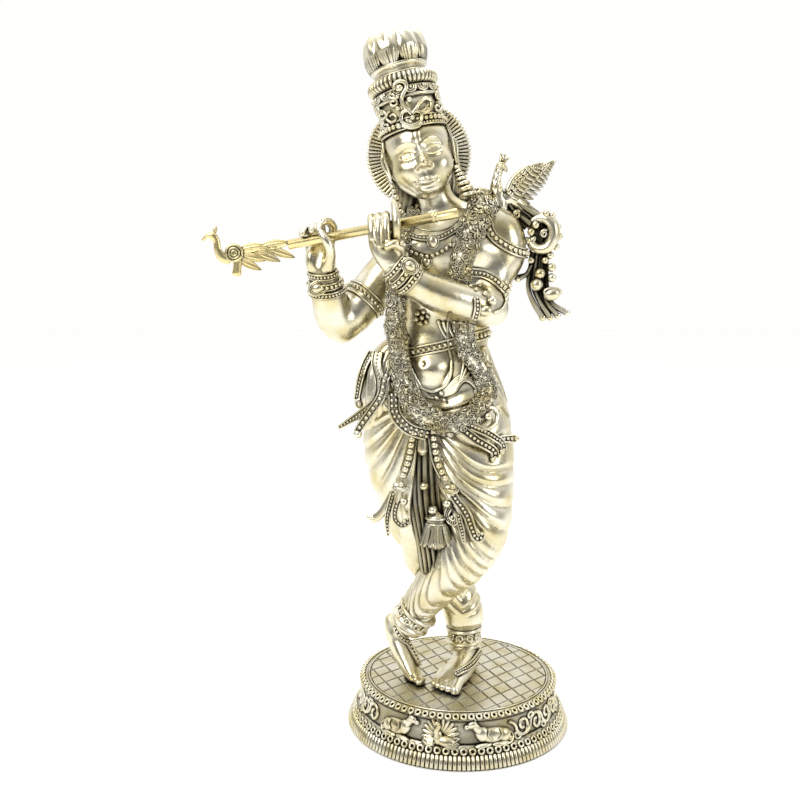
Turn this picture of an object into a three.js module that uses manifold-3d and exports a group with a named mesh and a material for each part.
// A flute player in antiqued cast brass, standing cross-legged on a round plinth.
// Millimetres, +Z up, -Y towards the viewer, +X to the viewer's right.
// The origin is the centre of the plinth's flat underside.

import * as THREE from "three";
import { mergeVertices } from "three/addons/utils/BufferGeometryUtils.js";
import Module from "manifold-3d";

const wasm = await Module();
wasm.setup();

// Driving sizes of the plinth.
const PLINTH_HEIGHT = 60;
const FLOOR_RADIUS = 111; // flat tiled floor that the feet stand on
const DRUM_TOP_RADIUS = 119;
const DRUM_FOOT_RADIUS = 126;
const RIDGE_TOP_RADIUS = 131;
const RIDGE_FOOT_RADIUS = 138;
const RIDGE_HEIGHT = 16; // ridged band round the foot
const BORDER_DROP = 4; // sloping border outside the floor
const HOLLOW_DEPTH = 4; // how far the drum's wall draws in between its borders
const RIDGE_COUNT = 44;
const RIDGE_DEPTH = 2.6;
const TILE_SIZE = 20;
const TILES_TO_A_GROOVE = 2; // only every second line between tiles is cut here
const TILE_TURN = 38; // degrees that the tiles are turned out of square
const TILE_GROOVE_DEPTH = 1;
const RELIEF_SETS = 1; // sets of animals spread round the drum, the first at the front
const RELIEF_FRONT_TURN = -13; // degrees from the front to the middle of the first set

// Driving sizes of the figure and the flute.
const FIGURE_HEIGHT = 770; // soles to the top of the crown
const SEAT_GAP = 0.3; // between the soles and the plinth
const FLUTE_RADIUS = 6;
const FLUTE_CLEARANCE = 0.4; // between the flute and the hands round it
const HALO_RADIUS = 62;
const HALO_THICKNESS = 6;
const HALO_RAYS = 28;
const CROWN_FLUTES = 16;
const CROWN_PETALS = 9;
const GARLAND_RADIUS = 10.5;
const GARLAND_KNOTS = 16;
const BANGLE_THICKNESS = 3;

// The pose below is drawn for a figure 770 mm tall, and follows FIGURE_HEIGHT.
const unit = FIGURE_HEIGHT / 770;
const point = (x, y, z) => new THREE.Vector3(x, y, z).multiplyScalar(unit);
const degrees = THREE.MathUtils.degToRad;
const DEPTH = new THREE.Vector3(0, 1, 0);
const UPWARD = new THREE.Vector3(0, 0, 1);

// Turns a closed geometry into a solid with its faces pointing out.
function solid(geometry) {
  const bare = geometry.index ? geometry.toNonIndexed() : geometry.clone();
  bare.deleteAttribute("normal");
  bare.deleteAttribute("uv");
  const merged = mergeVertices(bare, 1e-3);
  const corners = Array.from(merged.index.array);
  const faces = [];
  for (let i = 0; i < corners.length; i += 3) {
    const [a, b, c] = corners.slice(i, i + 3);
    if (a !== b && b !== c && c !== a) faces.push([a, b, c]);
  }
  const build = (triangles) =>
    new wasm.Manifold(
      new wasm.Mesh({
        numProp: 3,
        vertProperties: merged.getAttribute("position").array,
        triVerts: new Uint32Array(triangles.flat()),
      }),
    );
  const made = build(faces);
  return made.volume() > 0 ? made : build(faces.map(([a, b, c]) => [a, c, b]));
}

// Joins closed forms, given as nested lists of geometries, into one solid.
const fused = (forms) =>
  forms
    .flat(Infinity)
    .map(solid)
    .reduce((whole, next) => whole.add(next));

// The faces of a solid without those round a pocket that its joined forms enclose.
function outerFaces(corners, faces) {
  const shells = Array.from({ length: corners.length / 3 }, (_, i) => i);
  const shellOf = (i) => {
    let at = i;
    while (shells[at] !== at) {
      shells[at] = shells[shells[at]];
      at = shells[at];
    }
    return at;
  };
  const triangles = [];
  for (let i = 0; i < faces.length; i += 3) triangles.push(Array.from(faces.slice(i, i + 3)));
  for (const [a, b, c] of triangles) {
    shells[shellOf(a)] = shellOf(b);
    shells[shellOf(b)] = shellOf(c);
  }
  const volumes = new Map();
  for (const triangle of triangles) {
    const [a, b, c] = triangle.map((i) => new THREE.Vector3().fromArray(corners, i * 3));
    const shell = shellOf(triangle[0]);
    volumes.set(shell, (volumes.get(shell) ?? 0) + a.dot(b.cross(c)));
  }
  return triangles.filter(([a]) => volumes.get(shellOf(a)) > 0).flat();
}

function meshOf(made, name) {
  const data = made.getMesh();
  const geometry = new THREE.BufferGeometry();
  const corners = new Float32Array(data.vertProperties);
  geometry.setAttribute("position", new THREE.BufferAttribute(corners, 3));
  geometry.setIndex(outerFaces(corners, data.triVerts));
  geometry.computeVertexNormals();
  const brass = new THREE.MeshStandardMaterial({ color: 0xb9a55f, roughness: 0.32, metalness: 1 });
  const mesh = new THREE.Mesh(geometry, brass);
  mesh.name = name;
  return mesh;
}

// A limb, fold or cord that follows stations [x, y, z, half width, half depth].
// Width is measured across both the form and the axis `across`; swell(s, angle) adds to both.
function limb(stations, around, rows, { across = DEPTH, swell = () => 0 } = {}) {
  const centres = new THREE.CatmullRomCurve3(
    stations.map(([x, y, z]) => point(x, y, z)),
    false,
    "centripetal",
  );
  const sizes = new THREE.CatmullRomCurve3(
    stations.map(([, , , wide, deep = wide], i) => new THREE.Vector3(i, wide, deep)),
  );
  const geometry = new THREE.SphereGeometry(1, around, rows + 1);
  const position = geometry.getAttribute("position");
  for (let i = 0; i < position.count; i += 1) {
    const row = Math.floor(i / (around + 1));
    const s = THREE.MathUtils.clamp((row - 1) / (rows - 1), 0, 1);
    const at = centres.getPoint(s);
    if (row > 0 && row <= rows) {
      const angle = ((i % (around + 1)) / around) * Math.PI * 2;
      const size = sizes.getPoint(s).multiplyScalar(unit).addScalar(swell(s, angle) * unit);
      const along = centres.getTangent(s);
      const side = new THREE.Vector3().crossVectors(across, along).normalize();
      const deep = new THREE.Vector3().crossVectors(along, side);
      at.addScaledVector(side, Math.cos(angle) * size.y);
      at.addScaledVector(deep, Math.sin(angle) * size.z);
    }
    position.setXYZ(i, at.x, at.y, at.z);
  }
  return geometry;
}

// An egg with half sizes along X, Y and Z, turned by Euler angles in degrees.
function egg(at, half, around = 6, rows = 4, turn = [0, 0, 0]) {
  const geometry = new THREE.SphereGeometry(1, around, rows).scale(...half);
  geometry.rotateX(degrees(turn[0])).rotateY(degrees(turn[1])).rotateZ(degrees(turn[2]));
  return geometry.translate(...at).scale(unit, unit, unit);
}

const ball = (at, radius) => egg(at, [radius, radius, radius], 5, 3);

// A flat-ended ring of half sizes wide and deep, round an axis that runs along `along`.
function bangle(at, along, wide, deep, height) {
  const centre = new THREE.Vector3(...at);
  const step = new THREE.Vector3(...along).normalize().multiplyScalar(height / 2);
  const thick = BANGLE_THICKNESS / unit;
  return limb(
    [centre.clone().sub(step), centre.clone().add(step)].map((end) => [
      ...end.toArray(),
      wide + thick,
      deep + thick,
    ]),
    8,
    2,
  );
}

// A turned form with its profile given as [radius, height] from the axis back to the axis.
function turned(profile, around) {
  const points = profile.map(([radius, height]) => new THREE.Vector2(radius, height));
  return new THREE.LatheGeometry(points, around).rotateX(Math.PI / 2);
}

// Plinth: a ridged foot, a drawn-in drum and a tiled floor with a sloping border.
function ridgedFoot() {
  const outline = new THREE.Shape();
  const corners = RIDGE_COUNT * 2;
  for (let i = 0; i < corners; i += 1) {
    const angle = (i / corners) * Math.PI * 2;
    const radius = RIDGE_FOOT_RADIUS - (i % 2) * RIDGE_DEPTH;
    const at = [Math.cos(angle) * radius, Math.sin(angle) * radius];
    if (i === 0) outline.moveTo(...at);
    else outline.lineTo(...at);
  }
  const foot = new THREE.ExtrudeGeometry(outline, { depth: RIDGE_HEIGHT, bevelEnabled: false });
  const position = foot.getAttribute("position");
  const taper = RIDGE_TOP_RADIUS / RIDGE_FOOT_RADIUS;
  for (let i = 0; i < position.count; i += 1) {
    const share = position.getZ(i) > 0 ? taper : 1;
    position.setXY(i, position.getX(i) * share, position.getY(i) * share);
  }
  return foot;
}

function drumRadius(height) {
  const share = (height - RIDGE_HEIGHT) / (PLINTH_HEIGHT - RIDGE_HEIGHT);
  const straight = THREE.MathUtils.lerp(DRUM_FOOT_RADIUS, DRUM_TOP_RADIUS, share);
  return straight - HOLLOW_DEPTH * Math.sin(Math.PI * THREE.MathUtils.clamp(share, 0, 1));
}

function drum() {
  const borderFoot = PLINTH_HEIGHT - BORDER_DROP;
  const wall = [0.2, 0.6].map((share) => {
    const height = THREE.MathUtils.lerp(RIDGE_HEIGHT, borderFoot, share);
    return [drumRadius(height), height];
  });
  return turned(
    [
      [0, RIDGE_HEIGHT / 2],
      [DRUM_FOOT_RADIUS, RIDGE_HEIGHT / 2],
      [DRUM_FOOT_RADIUS + 2, RIDGE_HEIGHT + 3],
      ...wall,
      [DRUM_TOP_RADIUS, borderFoot],
      [FLOOR_RADIUS, PLINTH_HEIGHT],
      [0, PLINTH_HEIGHT],
    ],
    36,
  );
}

// V-shaped grooves between the floor's tiles.
function tileGrooves() {
  const wedge = new THREE.Shape();
  wedge.moveTo(-2 * TILE_GROOVE_DEPTH, TILE_GROOVE_DEPTH);
  wedge.lineTo(0, -TILE_GROOVE_DEPTH);
  wedge.lineTo(2 * TILE_GROOVE_DEPTH, TILE_GROOVE_DEPTH);
  const grooves = [];
  const reach = FLOOR_RADIUS - 3 * TILE_GROOVE_DEPTH;
  const spacing = TILE_SIZE * TILES_TO_A_GROOVE;
  const lines = Math.floor(reach / spacing);
  for (const turn of [TILE_TURN, TILE_TURN + 90]) {
    for (let i = -lines; i <= lines; i += 1) {
      const offset = i * spacing;
      const length = 2 * Math.sqrt(reach ** 2 - offset ** 2);
      const groove = new THREE.ExtrudeGeometry(wedge, { depth: length, bevelEnabled: false });
      groove.rotateX(Math.PI / 2).translate(offset, length / 2, PLINTH_HEIGHT);
      grooves.push(groove.rotateZ(degrees(turn)));
    }
  }
  return grooves;
}

// Sets a relief, drawn in the X-Z plane and facing -Y, on the drum's wall.
function onDrum(forms, turn, along) {
  const height = (RIDGE_HEIGHT + PLINTH_HEIGHT) / 2 - 1;
  const radius = drumRadius(height) - 1;
  const lean = Math.atan2(DRUM_FOOT_RADIUS - DRUM_TOP_RADIUS, PLINTH_HEIGHT - RIDGE_HEIGHT);
  const spin = degrees(turn) + along / radius;
  return forms.map((form) => form.rotateX(-lean).translate(0, -radius, height).rotateZ(spin));
}

const bump = (at, half, lean = 0) =>
  new THREE.SphereGeometry(1, 5, 3).scale(...half).rotateY(degrees(lean)).translate(...at);

// A cow lying down, facing +X or, with way -1, -X.
function cow(way) {
  return [
    bump([-2 * way, 0, 0], [15, 5, 8.5]),
    bump([13 * way, 0, 7], [8, 4.6, 5], 35 * way),
    bump([3 * way, -0.6, -8], [13, 4.4, 3]),
  ];
}

// A peacock with its tail spread behind it.
function peacockRelief() {
  const fan = new THREE.CylinderGeometry(15, 13, 3.6, 9, 1).rotateY(Math.PI / 9);
  return [fan.translate(0, 0.4, 2), bump([2, -2, -6], [13, 4, 5])];
}

// A waving tendril with a curl in each bend.
function tendril() {
  const stem = [-30, -20, -10, 0, 10, 20, 30].map((x, i) => {
    const z = [0, 9, 0, -9, 0, 9, 0][i];
    return new THREE.Vector3(x, 0, z);
  });
  const route = new THREE.CatmullRomCurve3(stem);
  const section = new THREE.Shape();
  section.moveTo(-2.4, 0).lineTo(0, -2.4).lineTo(2.4, 0).lineTo(0, 2.4);
  const wave = new THREE.ExtrudeGeometry(section, { steps: 8, extrudePath: route });
  const curls = [-20, 0, 20].map((x, i) => bump([x, 0, i % 2 ? 5 : -5], [4, 3, 5]));
  return [wave, ...curls];
}

function plinthSolid() {
  const reliefs = [];
  for (let i = 0; i < RELIEF_SETS; i += 1) {
    const turn = RELIEF_FRONT_TURN + (i * 360) / RELIEF_SETS;
    reliefs.push(onDrum(peacockRelief(), turn, 0));
    reliefs.push(onDrum(cow(1), turn, -50));
    reliefs.push(onDrum(cow(-1), turn, 50));
    reliefs.push(onDrum(tendril(), turn, 112));
    reliefs.push(onDrum(tendril(), turn, -112));
  }
  return fused([ridgedFoot(), drum(), reliefs]).subtract(fused(tileGrooves()));
}

// The head is drawn upright round its own centre, then tilted into place.
const HEAD_AT = [-48, -4, 623];
const HEAD_ROLL = -14;
const HEAD_BACK = -5;

function headPlaced(forms) {
  const matrix = new THREE.Matrix4().makeTranslation(point(...HEAD_AT));
  matrix.multiply(new THREE.Matrix4().makeRotationY(degrees(HEAD_ROLL)));
  matrix.multiply(new THREE.Matrix4().makeRotationX(degrees(HEAD_BACK)));
  return forms.flat(Infinity).map((form) => form.applyMatrix4(matrix));
}

// The same form on both sides of the middle.
const pair = (x, build) => [build(-x), build(x)];

function face() {
  return [
    egg([0, 3, 6], [37, 41, 44], 10, 6),
    egg([0, -9, -22], [28, 27, 27], 7, 5),
    egg([0, -36, -9], [5.5, 8, 15], 5, 3, [-14, 0, 0]),
    egg([0, -32, -32], [11, 5, 3.6], 5, 3),
    pair(15.5, (x) => egg([x, -31, 3], [10, 5, 6], 5, 3)),
    pair(37, (x) => limb([[x, 4, 8, 4, 7], [x, 4, -20, 4, 6], [x, 0, -46, 8, 8],
      [x, 0, -58, 3, 3]], 5, 4)),
  ];
}

// The halo: a thin disc whose border is parted into rays.
function halo() {
  const outline = new THREE.Shape();
  const corners = HALO_RAYS * 2;
  for (let i = 0; i < corners; i += 1) {
    const angle = (i / corners) * Math.PI * 2;
    const radius = HALO_RADIUS * unit * (i % 2 ? 0.86 : 1);
    const at = [Math.cos(angle) * radius, Math.sin(angle) * radius];
    if (i === 0) outline.moveTo(...at);
    else outline.lineTo(...at);
  }
  const disc = new THREE.ExtrudeGeometry(outline, { depth: HALO_THICKNESS, bevelEnabled: false });
  return disc.rotateX(Math.PI / 2).translate(...point(0, 22, 10).toArray());
}

// Crown: a domed cap with a scrolled crest, a fluted ring, a saucer and a cluster of petals.
function crown() {
  const cap = turned([[0, 26], [38, 26], [40, 34], [36, 54], [38.5, 60], [32, 70], [32, 84],
    [0, 84]], 14);
  const saucer = turned([[0, 85], [37, 96], [29, 102], [33, 108], [0, 112]], 14);
  const ring = turned([[0, 90], [36, 94], [41, 88], [36, 81], [0, 82]], CROWN_FLUTES * 2);
  const cluster = turned([[0, 108], [31, 108], [37, 124], [31, 142], [0, 150]], CROWN_PETALS * 2);
  const lobes = (form, count, depth) => {
    const position = form.getAttribute("position");
    const sides = count * 2;
    const rows = position.count / (sides + 1);
    for (let i = 0; i < position.count; i += 1) {
      const share = Math.floor(i / rows) % 2 ? 1 - depth : 1;
      position.setXY(i, position.getX(i) * share, position.getY(i) * share);
    }
    return form;
  };
  const curl = (x, z) =>
    new THREE.TorusGeometry(5, 2.8, 4, 6).rotateX(Math.PI / 2).translate(x, -39, z);
  const forms = [cap, saucer, lobes(ring, CROWN_FLUTES, 0.05), lobes(cluster, CROWN_PETALS, 0.14),
    curl(0, 54), curl(-11, 38), curl(11, 38)];
  return forms.map((form) => form.scale(unit, unit, unit));
}

const head = () => headPlaced([face(), halo(), crown()]);

function trunk() {
  return [
    limb([[-34, 2, 590, 22, 23], [-28, 5, 570, 20, 21], [-22, 6, 552, 26, 22],
      [-18, 5, 540, 40, 26]], 9, 4),
    limb([[-16, 6, 560, 30, 20], [-14, 4, 540, 56, 28], [-16, 1, 512, 61, 34],
      [-18, 0, 480, 59, 37], [-19, 2, 448, 55, 33], [-20, 2, 424, 54, 32], [-23, 0, 398, 56, 34],
      [-28, 0, 368, 64, 38], [-32, 0, 340, 76, 43], [-30, -2, 308, 83, 46],
      [-28, -2, 286, 84, 44]], 12, 11),
    egg([-35, -18, 382], [24, 24, 24], 8, 6),
  ];
}

// The draped cloth lies in folds that run down and across each leg.
function folds(count, slant, height) {
  return (s, angle) => {
    const phase = count * s + slant * Math.cos(angle);
    return height * (Math.abs(Math.sin(Math.PI * phase)) - 0.5);
  };
}

function legs() {
  const standing = limb([[-62, 6, 345, 46, 44], [-71, 4, 312, 46, 47], [-72, 2, 270, 42, 46],
    [-60, 0, 225, 39, 43], [-49, 2, 180, 32, 38], [-36, 8, 148, 30, 34], [-13, 12, 116, 28, 30],
    [2, 10, 88, 24, 26], [8, 7, 62, 21, 22], [9, 4, 44, 18, 19], [9, 4, 26, 15, 17]],
  10, 16, { swell: folds(6, -0.9, 3.4) });
  const crossing = limb([[4, -6, 345, 50, 46], [10, -12, 300, 52, 48], [14, -20, 255, 50, 48],
    [17, -28, 218, 45, 44], [14, -34, 188, 41, 42], [1, -34, 160, 36, 38],
    [-20, -28, 133, 29, 32], [-38, -20, 107, 24.5, 27], [-51, -13, 87, 21, 23],
    [-58, -9, 70, 17, 19]], 10, 22, { swell: folds(7, 0.9, 3.8) });
  const apron = limb([[-34, -30, 318, 34, 12], [-32, -42, 260, 18, 12], [-30, -50, 215, 18, 12],
    [-28, -52, 170, 24, 10], [-26, -48, 145, 18, 6]], 6, 4);
  return [standing, crossing, apron];
}

function toes(at, step, half) {
  return [0, 1, 2, 3, 4].map((i) =>
    egg(at.map((value, axis) => value + step[axis] * i), half.map((value) => value * (1 - 0.1 * i)),
      4, 3));
}

function feet() {
  const standing = limb([[16, 16, 13, 13, 13], [12, 4, 20, 15, 20], [5, -16, 15, 17, 15],
    [-5, -36, 10, 19, 10], [-13, -52, 6, 17, 6]], 8, 5, { across: UPWARD });
  const raised = limb([[-81, 12, 62, 12, 13], [-75, 4, 44, 14, 17], [-65, -8, 24, 15, 18],
    [-57, -18, 10, 11, 18], [-52, -28, 1, 8, 16]], 7, 5);
  const ankle = limb([[-55, -11, 76, 17, 18], [-64, -5, 62, 16, 17], [-73, 2, 50, 12, 14]], 7, 3);
  return [standing, raised, ankle, toes([-1, -55, 5], [-6.4, 2.5, 0], [3.4, 10, 5]),
    toes([-48, -36, 4], [-1.2, 5.4, 0], [10, 3.4, 5])];
}

// The flute's axis passes through both hands.
const FLUTE_TIP = [-196, -62, 526];
const FLUTE_MOUTH = [-8, -58, 561];

function rod(radius, overrun) {
  const tip = point(...FLUTE_TIP);
  const mouth = point(...FLUTE_MOUTH);
  const length = tip.distanceTo(mouth) + overrun * 2;
  const along = mouth.clone().sub(tip).normalize();
  const turn = new THREE.Quaternion().setFromUnitVectors(DEPTH, along);
  const middle = tip.add(mouth).multiplyScalar(0.5);
  const made = new THREE.CylinderGeometry(radius, radius, length, 12).applyQuaternion(turn);
  return made.translate(middle.x, middle.y, middle.z);
}

function fluteHeight(x) {
  const share = (x - FLUTE_TIP[0]) / (FLUTE_MOUTH[0] - FLUTE_TIP[0]);
  return THREE.MathUtils.lerp(FLUTE_TIP[2], FLUTE_MOUTH[2], share);
}

// Three fingers that start before the flute (front 1) or behind it (front -1) and curl over it.
function curledFingers(first, step, front, reach) {
  return [0, 1, 2].map((i) => {
    const x = first + step * i;
    const z = fluteHeight(x);
    const near = -61 - 12 * front;
    const far = -61 + 11 * front;
    return limb([[x, near, z - reach, 4.4], [x, near, z + 2, 4.4], [x, -61, z + 10, 4.2],
      [x, far, z, 3.8]], 5, 4);
  });
}

function rightArm() {
  return [
    limb([[-44, 6, 528, 26, 24], [-66, 5, 512, 29, 27], [-86, 2, 494, 26, 25],
      [-107, -5, 471, 24, 24], [-125, -13, 447, 23, 24], [-140, -22, 431, 17, 20]], 8, 6),
    limb([[-140, -20, 430, 16, 18], [-148, -28, 443, 21, 22], [-153, -37, 465, 20, 21],
      [-157, -46, 484, 17, 17], [-158, -51, 499, 14, 13], [-159, -54, 508, 15, 10],
      [-160, -51, 526, 15, 7]], 8, 7),
    curledFingers(-174, 9, -1, 12),
    limb([[-148, -48, 526, 5], [-147, -50, 543, 5], [-155, -56, 549, 4]], 5, 4),
    limb([[-150, -58, 500, 7], [-147, -66, 514, 6], [-154, -72, 532, 4.4]], 5, 4),
  ];
}

function leftArm() {
  return [
    limb([[24, 4, 556, 20, 22], [44, 4, 540, 28, 27], [48, 0, 516, 27, 27], [38, -8, 490, 22, 25],
      [33, -20, 465, 20, 24], [29, -30, 450, 16, 18]], 8, 6),
    limb([[36, -30, 452, 17, 17], [18, -40, 456, 21, 21], [-12, -50, 465, 22, 22],
      [-44, -58, 478, 19, 19], [-66, -64, 491, 16, 16], [-80, -67, 504, 16, 12]], 8, 6),
    limb([[-70, -66, 500, 17, 11], [-84, -69, 518, 18, 12], [-90, -72, 534, 17, 10]], 7, 3),
    curledFingers(-103, 9.4, 1, 14),
    limb([[-77, -68, 528, 5], [-76, -70, 548, 5], [-78, -56, 571, 4]], 5, 5),
  ];
}

// A garland of knotted flowers, from behind the neck over the left shoulder to below the waist.
function garland() {
  const knots = (s) => 2.6 * Math.abs(Math.cos(Math.PI * GARLAND_KNOTS * s)) - 1.3;
  const wide = GARLAND_RADIUS / unit;
  const strand = (route) =>
    route.map(([x, y, z, share = 1]) => [x, y, z, wide * share, wide * share]);
  return limb(strand([[-22, 26, 566], [6, 22, 576, 1.2], [26, 2, 572, 1.4], [14, -24, 552, 1.4],
    [2, -34, 526, 1.2], [-4, -38, 496], [0, -36, 452], [6, -36, 408], [24, -38, 378],
    [26, -42, 352], [6, -48, 328], [-20, -52, 321], [-48, -48, 336], [-68, -42, 366],
    [-73, -38, 400], [-78, -36, 440], [-78, -34, 480], [-72, -22, 524], [-58, 0, 556],
    [-34, 22, 566]]), 5, GARLAND_KNOTS * 2 + 1, { swell: knots });
}

// Bands of beads round the arms, wrists, waist and ankles are plain raised rings here.
function jewellery() {
  return [
    bangle([-114, -8, 462], [-0.7, -0.3, -0.8], 24, 24, 12),
    bangle([-158, -48, 490], [-0.06, -0.3, 1], 16, 16, 22),
    bangle([-72, -65, 497], [-0.75, -0.2, 0.62], 16, 15, 24),
    bangle([35, -14, 480], [-0.25, -0.4, -0.9], 20, 25, 12),
    bangle([-21, 1, 409], [0.03, 0, 1], 53, 33, 9),
    bangle([-52, -13, 76], [-0.55, 0.25, -0.8], 20, 21, 18),
    bangle([8, 5, 42], [0, 0, 1], 20, 21, 18),
    limb([[22, -22, 556, 3], [34, -26, 532, 3], [52, -26, 516, 3], [76, -12, 516, 3],
      [80, 8, 520, 3]], 5, 6),
    limb([[-66, -22, 540, 4], [-44, -34, 514, 4], [-20, -38, 506, 4], [4, -34, 522, 4]], 5, 5),
    egg([-24, -36, 496], [5, 5, 7], 5, 3),
  ];
}

// Sashes, tassels and pendants that hang from the belt.
function hangings() {
  const strip = (...stations) => limb(stations, 4, stations.length + 1);
  return [
    strip([-84, -8, 406, 14, 14], [-104, -14, 372, 16, 14], [-120, -22, 340, 12, 9],
      [-143, -26, 311, 4]),
    strip([-82, -24, 384, 14, 12], [-102, -32, 346, 13, 10], [-128, -34, 302, 8]),
    ball([-119, -36, 302], 7),
    egg([-42, -38, 322], [26, 14, 16], 6, 4),
    strip([-66, -42, 356, 9, 9], [-56, -48, 324, 8, 8], [-32, -52, 308, 6, 6]),
    strip([-48, -48, 316, 7, 8], [-54, -52, 280, 7, 8], [-60, -54, 244, 6]),
    strip([-26, -50, 316, 8, 8], [-22, -56, 280, 8, 8], [-8, -60, 244, 7]),
    strip([-38, -46, 316, 6, 8], [-37, -50, 284, 4]),
    strip([10, -40, 330, 8, 9], [34, -42, 312, 9, 9], [52, -28, 288, 5]),
    strip([26, -36, 334, 8, 9], [46, -30, 316, 8, 9], [66, -8, 300, 4]),
    ball([33, -42, 326], 8),
    strip([34, 0, 362, 9, 6], [56, 0, 324, 5, 4]),
    ball([-58, -56, 228], 9),
    ball([-7, -60, 228], 10),
    limb([[-27, -52, 212, 6], [-27, -54, 200, 9], [-27, -54, 172, 14, 9]], 8, 3),
    strip([-62, -54, 222, 8, 7], [-72, -52, 204, 7, 8], [-86, -44, 182, 3]),
    strip([-70, -48, 220, 7, 8], [-102, -30, 198, 3]),
    strip([-2, -60, 222, 8, 8], [14, -62, 204, 8, 8], [30, -58, 180, 5]),
    strip([-14, -38, 436, 13, 8], [-4, -42, 414, 9, 8], [2, -42, 404, 3]),
  ];
}

function wing(root, tip, thick) {
  const outline = new THREE.Shape();
  const feathers = 4;
  outline.moveTo(0, 0);
  for (let i = 0; i <= feathers; i += 1) {
    const share = i / feathers;
    const reach = 1 - 0.62 * share;
    outline.lineTo(reach, -0.34 * share);
    if (i < feathers) outline.lineTo(reach - 0.17, -0.34 * (share + 0.6 / feathers));
  }
  const blade = new THREE.ExtrudeGeometry(outline, { depth: 1, bevelEnabled: false });
  const along = point(...tip).sub(point(...root));
  const across = new THREE.Vector3().crossVectors(DEPTH, along).negate();
  const through = new THREE.Vector3().crossVectors(along, across).setLength(thick * unit);
  const matrix = new THREE.Matrix4().makeBasis(along, across, through);
  return blade.applyMatrix4(matrix.setPosition(point(...root)));
}

function peacock() {
  return [
    limb([[46, 2, 548, 7], [43, 2, 566, 8], [40, 2, 584, 11, 10], [39, 2, 601, 6],
      [44, 2, 617, 6], [53, 2, 627, 2]], 6, 7),
    limb([[44, 4, 580, 9], [62, 8, 574, 14, 11], [82, 10, 560, 15, 11], [92, 12, 536, 15, 12],
      [95, 12, 506, 15, 12], [95, 12, 482, 17, 12], [98, 12, 460, 12, 9],
      [102, 12, 442, 13, 6]], 6, 9, { swell: (s, angle) => 1.6 * Math.sin(2 * angle + 26 * s) }),
    [[102, 4, 549, 12], [106, 6, 500, 9], [90, 3, 487, 9], [106, 4, 464, 10]].map(
      ([x, y, z, radius]) => ball([x, y, z], radius)),
    limb([[88, 8, 524, 6], [70, 4, 493, 4]], 5, 2),
    limb([[106, 12, 455, 6], [128, 12, 443, 4]], 5, 2),
    wing([48, -4, 580], [90, -6, 621], 4),
    wing([52, 12, 582], [106, 14, 626], 4),
  ];
}

function figureSolid() {
  const under = new THREE.BoxGeometry(4 * FIGURE_HEIGHT, 4 * FIGURE_HEIGHT, FIGURE_HEIGHT);
  return fused([head(), trunk(), legs(), feet(), rightArm(), leftArm(), garland(), jewellery(),
    hangings(), peacock()])
    .subtract(solid(rod(FLUTE_RADIUS + FLUTE_CLEARANCE, 40)))
    .subtract(solid(under.translate(0, 0, -FIGURE_HEIGHT / 2)));
}

// The flute ends in a flat bird with a raised head and a tail of leaves.
function finial() {
  const leaf = (x, z, long, wide, lean) => {
    const outline = new THREE.Shape();
    outline.moveTo(-long, 0).quadraticCurveTo(0, wide * 2, long, 0);
    outline.quadraticCurveTo(0, -wide * 2, -long, 0);
    const options = { depth: 5, bevelEnabled: false, curveSegments: 2 };
    const blade = new THREE.ExtrudeGeometry(outline, options).translate(0, 0, -2.5);
    blade.rotateX(Math.PI / 2).rotateY(degrees(lean)).translate(x, -62, z);
    return blade.scale(unit, unit, unit);
  };
  const disc = new THREE.CylinderGeometry(10, 10, 6.5, 10).translate(-256, -62, 517);
  return [
    disc.scale(unit, unit, unit),
    limb([[-260, -62, 512, 7, 3], [-273, -62, 518, 5, 3], [-275, -62, 531, 4, 3],
      [-281, -62, 538, 5, 3.4], [-291, -62, 531, 1.6, 1.4]], 6, 6),
    leaf(-236, 523, 15, 5.4, -8),
    leaf(-211, 526, 17, 5.6, -8),
    leaf(-236, 512, 15, 5, 20),
    leaf(-222, 514, 18, 5, 24),
    leaf(-207, 518, 19, 5, 20),
    leaf(-240, 504, 15, 4.6, 26),
    limb([[-252, -62, 514, 5, 3], [-254, -62, 493, 5, 3]], 6, 2),
  ];
}

const fluteSolid = () => fused([rod(FLUTE_RADIUS, 0), finial()]);

const figure = meshOf(figureSolid(), "figure");
const flute = meshOf(fluteSolid(), "flute");
const standing = new THREE.Group();
standing.position.z = PLINTH_HEIGHT + SEAT_GAP;
standing.add(figure, flute);

const group = new THREE.Group();
group.add(meshOf(plinthSolid(), "plinth"), standing);

export default group;
